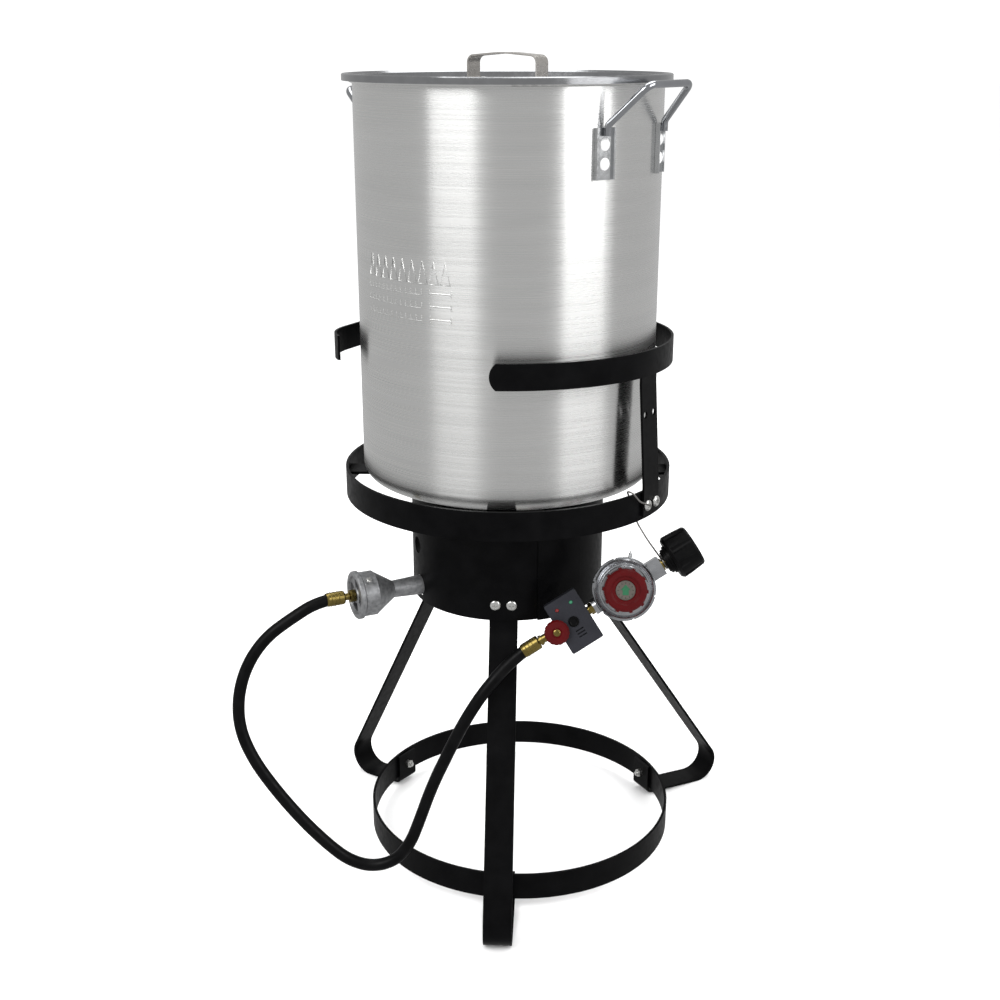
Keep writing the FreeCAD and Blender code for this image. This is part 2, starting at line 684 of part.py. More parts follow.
def regulator_body():
    """Die-cast half with its clamped flange, square inlet block and outlet boss."""
    can = spun([(0, -19), (18, -19), (24, -16), (27, -9), (REG_R - 4, -6), (REG_R - 0.8, -6),
                (REG_R, -5), (REG_R, 0.6), (REG_R - 0.8, 1.2), (0, 1.2)])
    block = Part.makeBox(BLOCK[1] - BLOCK[0] + 6, 20, 17, Vector(BLOCK[0] - 6, -10, -16))
    boss = cylinder(8.5, BOSS[1] - BOSS[0] + 6, Vector(BOSS[0], 0, LINE_Z), X_AXIS)
    inlet = cylinder(4.55, 12, Vector(BLOCK[1] - 12, 0, LINE_Z), X_AXIS)
    outlet = cylinder(4.55, 12, Vector(BOSS[0], 0, LINE_Z), X_AXIS)
    notch = cylinder(1.2, 9, Vector(0, 0, -7.5))
    notches = []
    for k in range(6):
        tool = notch.copy()
        tool.translate(polar(REG_R, 60 * k + 75))
        notches.append(tool)
    return can.fuse([block, boss]).removeSplitter().cut([inlet, outlet] + notches)


feature("regulator_body", regulator_body(), line)

turned("regulator_bonnet", [(17.3, 1.3), (REG_R - 1.4, 1.3), (REG_R - 1.4, 4.5), (REG_R - 3, 6.2),
                            (REG_R - 5, 5.2), (REG_R - 6.5, 6.8), (REG_R - 7.6, 6.8), (REG_R - 8, 9.0),
                            (REG_R - 9, 10), (17.3, 10)], line)

KNOB_R = dim("knob_radius")
KNOB_BASE, KNOB_TOP = 10.4, 21.0
DIAL_R = 10.2


def regulator_knob():
    """Castellated adjuster: its skirt turns in the bonnet, its face carries a sunk dial."""
    cap = spun([(0, KNOB_BASE - 7), (17, KNOB_BASE - 7), (17, KNOB_BASE), (KNOB_R - 1.5, KNOB_BASE),
                (KNOB_R - 1.5, KNOB_TOP - 2.5), (KNOB_R - 3.5, KNOB_TOP - 0.6), (15.5, KNOB_TOP),
                (13.5, KNOB_TOP - 1.6), (DIAL_R + 1, KNOB_TOP - 1.8), (DIAL_R + 0.1, KNOB_TOP - 3),
                (DIAL_R + 0.1, KNOB_TOP - 5), (0, KNOB_TOP - 5)])
    teeth = []
    for k in range(10):
        tooth = Part.makeBox(3.0, 3.4, KNOB_TOP - KNOB_BASE - 3, Vector(KNOB_R - 3, -1.7, KNOB_BASE))
        tooth.rotate(Vector(), Vector(0, 0, 1), 36 * k)
        teeth.append(tooth)
    return cap.fuse(teeth).removeSplitter()


feature("regulator_knob", regulator_knob(), line)
turned("regulator_dial", [(0, KNOB_TOP - 4.9), (DIAL_R - FIT, KNOB_TOP - 4.9), (DIAL_R - FIT, KNOB_TOP - 3.2),
                          (DIAL_R - 2, KNOB_TOP - 2.6), (0, KNOB_TOP - 2.6)], line)

vent = cylinder(2.0, 4.4).fuse(Part.makeCone(1.6, 0.5, 3.0, Vector(0, 0, 4.4))).removeSplitter()
vent_out = polar(1, 47)
feature("regulator_vent", along(vent, vent_out * (REG_R + FIT) + Vector(0, 0, -2), vent_out), line)

# brass inlet: screwed into the block, through the cylinder nut, ending in the probe
AXIS_HOME = line.multiply(Placement(Vector(0, 0, LINE_Z), Rotation(Vector(0, 1, 0), 90)))
NUT_START, NUT_END = 50.6, 86.0
PROBE_R = 6.25
turned("inlet_fitting", [(0, 36), (4.5, 36), (4.5, BLOCK[1] + FIT), (7, BLOCK[1] + FIT),
                         (7, BLOCK[1] + 1.6), (4.2, BLOCK[1] + 2.0), (4.2, 62), (11.5, 62), (11.5, 66),
                         (PROBE_R, 68), (PROBE_R, 81), (4.8, 84), (0, 84)], AXIS_HOME)


def cylinder_nut():
    """Hand nut: stepped collars, ribbed grip, and a wide open threaded mouth."""
    shape = spun([(4.3, NUT_START), (11, NUT_START), (11.5, NUT_START + 0.5), (11.5, 52), (13.5, 52.2),
                  (13.5, 55), (15.5, 55.2), (15.5, 57.6), (21.5, 57.8), (24, 60.5), (23.6, 70), (22.2, 84),
                  (20.8, NUT_END), (16.6, NUT_END), (16.0, NUT_END - 1), (16.0, 68.5), (12.0, 67.5),
                  (12.0, 61.7), (4.3, 61.7)])
    grooves = []
    for k in range(9):
        groove = cylinder(5.6, NUT_END - 60, Vector(27.6, 0, 61.5))
        groove.rotate(Vector(), Vector(0, 0, 1), 40 * k)
        grooves.append(groove)
    return shape.cut(grooves)


feature("cylinder_nut", cylinder_nut(), AXIS_HOME)

TIMER_U = -61.8
VALVE_U = -82.4
TIMER_W, TIMER_L, TIMER_D = dim("timer_width"), dim("timer_length"), dim("timer_depth")
TIMER_FACE = TIMER_D / 2 + LINE_Z + 4
LEDS = {"green": (-53.8, 18.4), "red": (-70.4, 18.6)}
BUTTON_R = 5.4
BUTTON_SEAT = 5.2       # how deep the button's foot sits under the face
BUTTON_TRAVEL = 1.5
outlet = cylinder(4.5, 44.3, Vector(0, 0, -72)).fuse(hexagon(11.0, 4.2, Vector(0, 0, BOSS[0] - 4.3)))
feature("outlet_nipple", outlet.removeSplitter(), AXIS_HOME)


def timer_box():
    """Shut-off timer housing: rounded box with sounder slots, wells, and a notch for the valve."""
    box = Part.makeBox(TIMER_W, TIMER_L, TIMER_D,
                       Vector(TIMER_U - TIMER_W / 2, -TIMER_L / 2, TIMER_FACE - TIMER_D))
    upright_edges = [e for e in box.Edges if abs(e.tangentAt(e.FirstParameter).z) > 0.9]
    box = box.makeFillet(2.0, upright_edges)
    rim = [e for e in box.Edges if e.BoundBox.ZMin > TIMER_FACE - 0.01]
    box = box.makeFillet(0.8, rim)
    cuts = []
    for k in range(3):
        cuts.append(Part.makeBox(9.0, 1.5, 3.0, Vector(TIMER_U - 3.5, -10.8 - 3.4 * k, TIMER_FACE - 2)))
    cuts += [cylinder(2.1, 5, Vector(u, v, TIMER_FACE - 3)) for u, v in LEDS.values()]
    well = BUTTON_SEAT + BUTTON_TRAVEL + 0.3
    cuts.append(cylinder(BUTTON_R + 0.15, well + 1, Vector(TIMER_U, 0, TIMER_FACE - well)))
    cuts.append(cylinder(4.6, TIMER_W + 2, Vector(TIMER_U - TIMER_W / 2 - 1, 0, LINE_Z), X_AXIS))
    notch_low = Vector(TIMER_U - TIMER_W / 2 - 1, -8.4, TIMER_FACE - TIMER_D - 1)
    cuts.append(Part.makeBox(VALVE_U + 5.4 - notch_low.x, 16.8, TIMER_D + 2, notch_low))
    return box.cut(cuts)


feature("timer_box", timer_box(), line)
for colour, (u, v) in LEDS.items():
    lens = spun([(0, 0), (2.0, 0), (2.0, 2.2), (1.4, 3.1), (0, 3.4)])
    feature("timer_led_" + colour, along(lens, Vector(u, v, TIMER_FACE - 2.9), Vector(0, 0, 1)), line)
button = spun([(0, 0), (BUTTON_R, 0), (BUTTON_R, 6.4), (BUTTON_R - 0.8, 7.2), (BUTTON_R - 1.6, 7.2),
               (BUTTON_R - 2.4, 6.6), (0, 6.6)])
button_foot = Vector(TIMER_U, 0, TIMER_FACE - BUTTON_SEAT)
feature("timer_button", along(button, button_foot, Vector(0, 0, 1)), line)

VALVE_KNOB_R = 13.0
STEM_TOP = TIMER_FACE + 8.0
FERRULE_U = -103.2


def valve_body():
    """Brass shut-off valve: body under the knob, spindle, and the barb for the hose."""
    run = cylinder(4.5, 22, Vector(-78.0, 0, LINE_Z), X_AXIS * -1)
    block = Part.makeBox(9.2, 16, 14, Vector(VALVE_U - 4.6, -8, LINE_Z - 7))
    bonnet = cylinder(5.2, 4.0, Vector(VALVE_U, 0, LINE_Z + 6.0))
    spindle = cylinder(3.0, STEM_TOP - 1.3 - LINE_Z, Vector(VALVE_U, 0, LINE_Z))
    collar = cylinder(5.6, 3.0, Vector(-99.5, 0, LINE_Z), X_AXIS * -1)
    barb = cylinder(3.8, 10.5, Vector(-100, 0, LINE_Z), X_AXIS * -1)
    return run.fuse([block, bonnet, spindle, collar, barb]).removeSplitter()


feature("valve_body", valve_body(), line)
VALVE_AT = Vector(VALVE_U, 0, 0)
knob = spun([(3.1, TIMER_FACE + 0.6), (8, TIMER_FACE + 0.6), (VALVE_KNOB_R - 1, TIMER_FACE + 1.2),
             (VALVE_KNOB_R, TIMER_FACE + 2.6), (VALVE_KNOB_R, TIMER_FACE + 5.2),
             (VALVE_KNOB_R - 1.8, TIMER_FACE + 7.2), (5.5, TIMER_FACE + 7.8), (4.6, TIMER_FACE + 6.8),
             (3.1, TIMER_FACE + 6.8)])
flutes = []
for k in range(16):
    flute = cylinder(1.1, 12, Vector(VALVE_KNOB_R + 0.6, 0, TIMER_FACE))
    flute.rotate(Vector(), Vector(0, 0, 1), 22.5 * k)
    flutes.append(flute)
feature("valve_knob", along(knob.cut(flutes), VALVE_AT, Vector(0, 0, 1)), line)
screw = spun([(0, STEM_TOP - 1.2), (3.6, STEM_TOP - 1.2), (3.6, STEM_TOP - 0.6), (2.6, STEM_TOP),
              (0, STEM_TOP)])
screw = screw.cut(Part.makeBox(8, 0.9, 1.2, Vector(-4, -0.45, STEM_TOP - 0.6)))
feature("valve_knob_screw", along(screw, VALVE_AT, Vector(0, 0, 1)), line)

turned("hose_ferrule_valve", ferrule(-FERRULE_U, 20, FERRULE_R, 3.85, HOSE_R + 0.05),
       line.multiply(Placement(Vector(0, 0, LINE_Z), Rotation(Vector(0, 1, 0), -90))))


# ---------------------------------------------------------------- hose
def hose_route():
    """Corners of the hose's run, from the mixer's sleeve to the valve's."""
    mixer_end = mixer_home.multVec(Vector(0, 0, HOSE_START - 12))
    mixer_run = mixer_home.multVec(Vector(0, 0, HOSE_START + 9))
    valve_run = line.multVec(Vector(FERRULE_U - 29, 0, LINE_Z))
    valve_end = line.multVec(Vector(FERRULE_U - 8, 0, LINE_Z))
    free = [(-228, -103, 319), (-255, -109, 300), (-275, -116, 272), (-285, -124, 239), (-284, -132, 205),
            (-270, -139, 172), (-247, -145, 139), (-220, -149, 105), (-193, -151, 76), (-171, -152, 57),
            (-146, -153, 49.5), (-121, -153, 56.5), (-104.5, -153, 77), (-94, -153, 105), (-80, -153, 147),
            (-62, -153, 188), (-44, -152.5, 226), (-22, -149, 261)]
    return [mixer_end, mixer_run] + [Vector(*point) for point in free] + [valve_run, valve_end]


def arc_radii(points, share=0.45):
    """The largest arc that each corner's two runs allow."""
    radii = []
    for before, corner, after in zip(points, points[1:], points[2:]):
        back, ahead = before - corner, after - corner
        half_turn = (math.pi - back.getAngle(ahead)) / 2
        radii.append(share * min(back.Length, ahead.Length) / math.tan(half_turn))
    return radii


route = hose_route()
route_radii = arc_radii(route)
hose, hose_length = rod(route, route_radii, HOSE_R)
print("hose bend radii", [round(radius) for radius in route_radii], "length", round(hose_length))
print("hose volume ratio", round(hose.Volume / (math.pi * HOSE_R ** 2 * hose_length), 4))
feature("hose", hose)


# ---------------------------------------------------------------- hanger wire
def hanger_wire():
    """Bent wire: hooked at the guard's screw, over the ring, down to a loop on the inlet."""
    thick = 0.9
    loop_at = line.multVec(Vector(BLOCK[1] + 3.3, 0, LINE_Z))
    up_line = line.Rotation.multVec(X_AXIS)
    loop = Part.makeTorus(5.3 + thick, thick, loop_at, up_line)
    tie = loop_at + line.Rotation.multVec(Vector(0, 5.3 + thick, 0))
    bends = [(8.5, -37.6, 449), (5.6, -42.5, 456), (3, -45.3, 467), (-5.5, -45.0, 467),
             (-6.0, -42.0, 450), (-6.0, -38.4, 428), (3.5, -36.2, 409)]
    points = [polar(RING_R + out, azimuth, z) for out, azimuth, z in bends] + [tie]
    wire, _ = rod(points, arc_radii(points, 0.3), thick)
    return wire.fuse(loop)


feature("hanger_wire", hanger_wire())


# ---------------------------------------------------------------- pot and lid
POT_R = dim("pot_radius")
WALL = dim("pot_wall")
POT_Z = dim("pot_bottom")
POT_TOP = dim("pot_top")
LID_R = dim("lid_radius")
BEAD = 2.7              # radius of the rolled rim


def pot_body():
    """Drawn pot: flat bottom, rounded corner, straight wall and a rolled rim."""
    corner = 15.0
    floor = Part.makeCylinder(POT_R, POT_TOP - 1 - POT_Z, Vector(0, 0, POT_Z))
    hollow = Part.makeCylinder(POT_R - WALL, POT_TOP - POT_Z, Vector(0, 0, POT_Z + WALL))
    outside = floor.makeFillet(corner, [low_edge(floor)])
    inside = hollow.makeFillet(corner - WALL, [low_edge(hollow)])
    rim = Part.makeTorus(POT_R - WALL + BEAD, BEAD, Vector(0, 0, POT_TOP), Vector(0, 0, 1))
    return outside.cut(inside).fuse(rim).removeSplitter()


def low_edge(shape):
    """The lowest closed edge of an upright cylinder."""
    rings = [edge for edge in shape.Edges if edge.isClosed()]
    return min(rings, key=lambda edge: edge.BoundBox.ZMin)


RIVETS = (788.2, 805.8)
PLATE_BOTTOM, PLATE_TOP = 774.0, 821.0
PLATE_W, PLATE_T = 21.0, 2.0
PLATE_OFFSET = 17.6      # degrees either side of the handle's middle
HANDLE_AZIMUTHS = {"front": dim("handle_azimuth"), "rear": dim("handle_azimuth") + 180}
HANDLE_BAR_Z = {"front": 859.0, "rear": 847.5}      # the loose rear loop has sagged a little

pot_holes = []
for azimuth in HANDLE_AZIMUTHS.values():
    for side in (-PLATE_OFFSET, PLATE_OFFSET):
        pot_holes += [cylinder(2.6, 12, polar(POT_R - 6, azimuth + side, z), polar(1, azimuth + side))
                      for z in RIVETS]
feature("pot_body", pot_body().cut(pot_holes))


def handle_plate():
    """Riveted ear, curved to the wall, its long edges turned outward."""
    span = math.degrees(PLATE_W / POT_R)
    tall = PLATE_TOP - PLATE_BOTTOM
    outer = Part.makeCylinder(POT_R + FIT + 4.5, tall, Vector(), Vector(0, 0, 1), span)
    plate = outer.cut(cylinder(POT_R + FIT, tall))
    plate.rotate(Vector(), Vector(0, 0, 1), -span / 2)
    middle = Part.makeCylinder(POT_R + 40, tall, Vector(), Vector(0, 0, 1), span - 1.4)
    middle = middle.cut(cylinder(POT_R + FIT + PLATE_T, tall))
    middle.rotate(Vector(), Vector(0, 0, 1), -(span - 1.4) / 2)
    plate = plate.cut(middle)
    plate.translate(Vector(0, 0, PLATE_BOTTOM))
    return plate.cut([cylinder(2.6, 12, Vector(POT_R - 2, 0, z), X_AXIS) for z in RIVETS])


def rivet():
    """Round-headed rivet through the ear and the wall, headed inside the pot."""
    head = Part.makeSphere(7.6, Vector(POT_R + FIT + PLATE_T - 4.9, 0, 0))
    head = head.common(Part.makeBox(8, 16, 16, Vector(POT_R + 2 * FIT + PLATE_T, -8, -8)))
    stem = cylinder(2.5, PLATE_T + WALL + 0.6, Vector(POT_R - WALL - 0.2, 0, 0), X_AXIS)
    foot = cylinder(4.0, 1.2, Vector(POT_R - WALL - 1.4, 0, 0), X_AXIS)
    return head.fuse([stem, foot]).removeSplitter()


def handle_wire(bar_z):
    """Wire loop welded to the two ears: it leans out and up to a short outer bar."""
    radius, ear = 3.4, POT_R + FIT + PLATE_T + 3.5
    half = math.radians(PLATE_OFFSET)
    low_x, low_y = ear * math.cos(half), ear * math.sin(half)
    out, bar_half, root, bend = 189.0, 36.0, 813.5, 823.0
    points = [Vector(low_x, -low_y, root), Vector(low_x, -low_y, bend), Vector(out, -bar_half, bar_z),
              Vector(out, bar_half, bar_z), Vector(low_x, low_y, bend), Vector(low_x, low_y, root)]
    wire, _ = rod(points, [6.0, 11.0, 11.0, 6.0], radius)
    return wire


for name, azimuth in HANDLE_AZIMUTHS.items():
    turn = Placement(Vector(), Rotation(Vector(0, 0, 1), azimuth))
    feature("pot_handle_" + name, handle_wire(HANDLE_BAR_Z[name]), turn)
    ears, pins = [], []
    for side in (-PLATE_OFFSET, PLATE_OFFSET):
        ear = handle_plate()
        ear.rotate(Vector(), Vector(0, 0, 1), side)
        ears.append(ear)
        for z in RIVETS:
            pin = rivet()
            pin.translate(Vector(0, 0, z))
            pin.rotate(Vector(), Vector(0, 0, 1), side)
            pins.append(pin)
    feature("handle_plates_" + name, Part.makeCompound(ears), turn)
    feature("handle_rivets_" + name, Part.makeCompound(pins), turn)

LID_Z = POT_TOP + BEAD + FIT
LID_T = 1.2
LID_RIM = 3.2           # how far the rim stands above the seat on the pot
LID_DROP = 5.4          # how far the middle panel is sunk below it
LID_RIVETS = (-29.0, 29.0)
LID_HANDLE_AZIMUTH = -34.0
LID_SHIFT = Vector(-1.2, 0, 0)      # the loose lid sits a little to the left
lid_turn = Placement(LID_SHIFT, Rotation(Vector(0, 0, 1), LID_HANDLE_AZIMUTH))
LID_UNDER = LID_Z - LID_DROP
LID_TOP = LID_UNDER + LID_T
lid_section = [(0, LID_UNDER), (147.5, LID_UNDER), (150.5, LID_Z), (LID_R - LID_T, LID_Z),
               (LID_R - LID_T, LID_Z - 3.4), (LID_R, LID_Z - 3.4), (LID_R, LID_Z + LID_RIM - 1.0),
               (LID_R - 1.0, LID_Z + LID_RIM), (LID_R - 3.6, LID_Z + LID_RIM),
               (LID_R - 5.6, LID_Z + LID_T), (149.8, LID_Z + LID_T), (146.7, LID_TOP), (0, LID_TOP)]
lid = turned("lid_sheet", lid_section, export=False)
drilled("lid", lid, [cylinder(2.1, 12, Vector(x, 0, LID_UNDER - 3)) for x in LID_RIVETS], lid_turn)

HANDLE_TOP = 885.3
HANDLE_HALF = 41.0
FOOT_END = 20.0
foot_z = LID_TOP + FIT + 0.8
handle = strap("lid_handle_strap",
               [(-FOOT_END, foot_z), (-HANDLE_HALF, foot_z), (-HANDLE_HALF, HANDLE_TOP - 3.2),
                (0, HANDLE_TOP), (HANDLE_HALF, HANDLE_TOP - 3.2), (HANDLE_HALF, foot_z), (FOOT_END, foot_z)],
               [3.0, 7.0, 150.0, 7.0, 3.0], "lid_handle_width", 1.6)
handle_holes = [cylinder(2.1, 8, Vector(x, 0, foot_z - 4)) for x in LID_RIVETS]
drilled("lid_handle", handle, handle_holes, lid_turn)
lid_rivets = []
for x in LID_RIVETS:
    crown = spun([(0, LID_UNDER - 1.4), (3.6, LID_UNDER - 1.4), (3.6, LID_UNDER - FIT),
                  (2.0, LID_UNDER - FIT), (2.0, foot_z + 0.9), (4.2, foot_z + 0.9), (3.4, foot_z + 2.2),
                  (0, foot_z + 2.6)])
    crown.translate(Vector(x, 0, 0))
    lid_rivets.append(crown)
feature("lid_rivets", Part.makeCompound(lid_rivets), lid_turn)


# ---------------------------------------------------------------- check and export
doc.recompute()
for obj in doc.Objects:
    if "Invalid" in obj.State or "Error" in obj.State:
        raise RuntimeError("%s did not recompute: %s" % (obj.Label, obj.State))
os.makedirs("parts", exist_ok=True)
for obj in finished:
    shape = obj.Shape
    if shape.isNull() or not shape.isValid() or shape.Volume <= 0:
        raise RuntimeError("%s has no valid solid" % obj.Label)
    box = shape.BoundBox
    low, high = box.getPoint(0), box.getPoint(6)
    print("%-22s %2d solids %9.0f mm3 " % (obj.Label, len(shape.Solids), shape.Volume), low, high)
    shape.exportStep("parts/%s.step" % obj.Label)
print(len(finished), "parts")
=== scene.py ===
"""Turkey fryer kit: surface finishes, hose, relief marks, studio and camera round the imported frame.

Metres, +Z up. The origin is on the floor, on the pot's axis, and the front faces -Y.
"""
import bpy
import json
import math
from mathutils import Matrix, Vector


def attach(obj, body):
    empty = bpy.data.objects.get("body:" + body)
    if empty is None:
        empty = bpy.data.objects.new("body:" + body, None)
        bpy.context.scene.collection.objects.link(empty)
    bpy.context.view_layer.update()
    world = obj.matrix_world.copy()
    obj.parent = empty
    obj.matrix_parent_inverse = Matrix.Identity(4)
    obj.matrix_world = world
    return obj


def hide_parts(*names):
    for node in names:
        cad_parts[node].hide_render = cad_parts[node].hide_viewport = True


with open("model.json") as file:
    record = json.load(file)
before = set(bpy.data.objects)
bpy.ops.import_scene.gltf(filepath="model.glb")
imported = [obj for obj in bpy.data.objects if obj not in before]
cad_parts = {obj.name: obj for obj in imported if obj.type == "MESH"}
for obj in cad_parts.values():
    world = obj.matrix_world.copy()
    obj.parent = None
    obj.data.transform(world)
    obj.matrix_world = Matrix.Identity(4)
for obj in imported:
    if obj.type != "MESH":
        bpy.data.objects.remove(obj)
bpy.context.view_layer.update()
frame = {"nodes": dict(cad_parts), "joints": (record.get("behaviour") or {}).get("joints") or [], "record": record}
MM = 0.001
JOINTS = {joint["name"]: joint for joint in frame["joints"]}


# ---------------------------------------------------------------- materials
# Texture scales are cycles per metre, and reliefs are metres.
NOISE_SPAN = (0.3, 0.7)     # the stretch of 0 to 1 that a noise's values mostly fill


def even(scale):
    return (scale, scale, scale)


def shaded(colour, factor):
    return [factor * value for value in colour]


class Finish:
    """One procedural material: a Principled shader and the textures that drive it."""

    def __init__(self, name, colour, metallic=0.0, roughness=0.4, **constants):
        self.material = bpy.data.materials.new(name)
        self.material.use_nodes = True
        self.tree = self.material.node_tree
        self.shader = self.tree.nodes["Principled BSDF"]
        self.set("Base Color", (*colour, 1.0))
        self.set("Metallic", metallic)
        self.set("Roughness", roughness)
        for socket, value in constants.items():
            self.set(socket.replace("_", " "), value)
        self.place = self.node("ShaderNodeTexCoord").outputs["Object"]

    def set(self, socket, value):
        self.shader.inputs[socket].default_value = value

    def node(self, kind, **values):
        made = self.tree.nodes.new(kind)
        for name, value in values.items():
            setattr(made, name, value)
        return made

    def link(self, source, target):
        self.tree.links.new(source, target)

    def texture(self, kind, scales):
        """Texture laid over the object's own coordinates, with one scale for each axis."""
        stretch = self.node("ShaderNodeVectorMath", operation="MULTIPLY")
        self.link(self.place, stretch.inputs[0])
        stretch.inputs[1].default_value = scales
        made = self.node(kind)
        made.inputs["Scale"].default_value = 1.0
        self.link(stretch.outputs["Vector"], made.inputs["Vector"])
        return made

    def noise(self, scales, detail=3.0):
        made = self.texture("ShaderNodeTexNoise", scales)
        made.inputs["Detail"].default_value = detail
        return made.outputs["Fac"]

    def cells(self, scale):
        return self.texture("ShaderNodeTexVoronoi", even(scale)).outputs["Distance"]

    def colour(self, fac, dark, light):
        ramp = self.node("ShaderNodeValToRGB")
        stops = zip(ramp.color_ramp.elements, NOISE_SPAN, (dark, light))
        for element, position, colour in stops:
            element.position, element.color = position, (*colour, 1.0)
        self.link(fac, ramp.inputs["Fac"])
        self.link(ramp.outputs["Color"], self.shader.inputs["Base Color"])
        return self

    def roughness(self, fac, low, high):
        change = self.node("ShaderNodeMapRange")
        names = ("From Min", "From Max", "To Min", "To Max")
        for name, value in zip(names, (*NOISE_SPAN, low, high)):
            change.inputs[name].default_value = value
        self.link(fac, change.inputs["Value"])
        self.link(change.outputs["Result"], self.shader.inputs["Roughness"])
        return self

    def bump(self, fac, relief, strength=1.0):
        bump = self.node("ShaderNodeBump")
        bump.inputs["Distance"].default_value = relief
        bump.inputs["Strength"].default_value = strength
        self.link(fac, bump.inputs["Height"])
        self.link(bump.outputs["Normal"], self.shader.inputs["Normal"])
        return self

    def spun_grain(self):
        """Highlights drawn out across brush lines that run round the pot's axis."""
        quarter_turn = 0.25
        tangent = self.node("ShaderNodeTangent", direction_type="RADIAL", axis="Z")
        self.link(tangent.outputs["Tangent"], self.shader.inputs["Tangent"])
        self.set("Anisotropic Rotation", quarter_turn)
        return self


def brushed_aluminium(name, colour, low, high):
    """Sheet brushed in lines round the pot, with roughness from low to high."""
    finish = Finish(name, colour, 1.0, low, Anisotropic=0.96)
    lines = finish.noise((3.0, 3.0, 1400.0), detail=2.0)
    bands = finish.noise((6.0, 6.0, 90.0))
    finish.colour(bands, shaded(colour, 0.94), colour).roughness(lines, low, high)
    return finish.bump(lines, 0.00001, strength=0.35).spun_grain().material


def plain_metal(name, colour, low, high, grain=700.0, relief=0.00002, dull=0.88, metallic=1.0):
    """Plated, cast or turned metal, with faint stains and a fine grain."""
    finish = Finish(name, colour, metallic, low)
    finish.colour(finish.noise(even(70.0)), shaded(colour, dull), colour)
    finish.roughness(finish.noise(even(240.0)), low, high)
    return finish.bump(finish.noise(even(grain)), relief).material


def powder_coat():
    """Satin black coat with the faint orange peel of baked powder."""
    finish = Finish("powder_coat", (0.002, 0.002, 0.002), 0.0, 0.36, Specular_IOR_Level=0.065)
    finish.colour(finish.noise(even(45.0)), (0.0008, 0.0008, 0.001), (0.0022, 0.0022, 0.0025))
    finish.roughness(finish.noise(even(160.0)), 0.3, 0.44)
    return finish.bump(finish.noise(even(900.0)), 0.00004, strength=0.6).material


def cast_metal(name, colour, relief):
    """Sand casting: pitted, with darker hollows."""
    finish = Finish(name, colour, 0.85, 0.45)
    pits = finish.cells(650.0)
    finish.colour(finish.noise(even(220.0), detail=6.0), shaded(colour, 0.55), colour)
    finish.roughness(finish.noise(even(400.0)), 0.36, 0.6)
    return finish.bump(pits, relief, strength=0.8).material


def moulded(name, colour, low, high, specular, relief=0.00002, grain=1400.0):
    """Moulded plastic with a fine spark texture."""
    finish = Finish(name, colour, 0.0, low, Specular_IOR_Level=specular)
    finish.colour(finish.noise(even(60.0)), shaded(colour, 0.8), colour)
    finish.roughness(finish.noise(even(300.0)), low, high)
    return finish.bump(finish.noise(even(grain)), relief, strength=0.7).material


def lens(name, colour):
    """Clear tinted cap of a small lamp."""
    finish = Finish(name, colour, 0.0, 0.12, Emission_Strength=0.25, Coat_Weight=0.6)
    finish.set("Emission Color", (*colour, 1.0))
    return finish.colour(finish.noise(even(500.0)), shaded(colour, 0.5), colour).material


def rubber():
    """Dull black cover of the hose."""
    finish = Finish("hose_rubber", (0.0015, 0.0015, 0.0015), 0.0, 0.35, Specular_IOR_Level=0.1)
    finish.colour(finish.noise(even(90.0)), (0.0008, 0.0008, 0.001), (0.0024, 0.0024, 0.0028))
    finish.roughness(finish.noise(even(140.0)), 0.3, 0.5)
    return finish.bump(finish.noise(even(1200.0)), 0.00003, strength=0.5).material


POT = brushed_aluminium("pot_brushed", (0.80, 0.80, 0.79), 0.25, 0.31)
BY_SLOT = {
    "black_steel": powder_coat(),
    "zinc_plated": plain_metal("zinc_plate", (0.80, 0.80, 0.78), 0.18, 0.34),
    "cast_aluminium": cast_metal("cast_aluminium", (0.36, 0.365, 0.375), relief=0.00005),
    "cast_iron": cast_metal("cast_iron", (0.05, 0.048, 0.045), relief=0.00016),
    "brass": plain_metal("brass", (0.27, 0.205, 0.062), 0.2, 0.36, dull=0.7),
    "zinc_casting": plain_metal("zinc_casting", (0.50, 0.51, 0.53), 0.16, 0.3,
                                grain=420.0, relief=0.00003, dull=0.7),
    "red_plastic": moulded("red_plastic", (0.062, 0.0015, 0.0022), 0.32, 0.46, specular=0.12),
    "dial_face": moulded("dial_face", (0.075, 0.065, 0.055), 0.4, 0.55, specular=0.3),
    "black_plastic": moulded("black_plastic", (0.0016, 0.0016, 0.0018), 0.30, 0.44, specular=0.1),
    "timer_grey": moulded("timer_grey", (0.018, 0.0185, 0.0235), 0.45, 0.6, specular=0.15,
                          relief=0.00004, grain=1100.0),
    "green_lens": lens("green_lens", (0.03, 0.16, 0.085)),
    "red_lens": lens("red_lens", (0.16, 0.014, 0.014)),
    "hose_rubber": rubber(),
    "steel_wire": plain_metal("bright_wire", (0.40, 0.41, 0.43), 0.08, 0.15,
                              grain=300.0, relief=0.00001),
    "pot_aluminium": POT,
    # Rivets: near-white colour that is mostly not metal, a painted reflection that makes the heads as bright as
    # reflecting the white surroundings would
    "rivet_aluminium": plain_metal("rivet_aluminium", (0.93, 0.93, 0.93), 0.34, 0.46,
                                   metallic=0.35),
}
EAR = plain_metal("ear_plate", (0.62, 0.63, 0.64), 0.12, 0.22, grain=300.0, relief=0.00001)
BY_NODE = {
    "lid": plain_metal("lid_polished", (0.34, 0.345, 0.355), 0.13, 0.22,
                       grain=500.0, relief=0.00001),
    "lid_handle": plain_metal("handle_strap", (0.60, 0.575, 0.54), 0.24, 0.34, grain=900.0),
    "handle_plates_front": EAR,
    "handle_plates_rear": EAR,
    "hanger_wire": plain_metal("soft_wire", (0.30, 0.29, 0.28), 0.3, 0.45),
    "regulator_vent": plain_metal("vent_metal", (0.7, 0.71, 0.72), 0.2, 0.3),
}


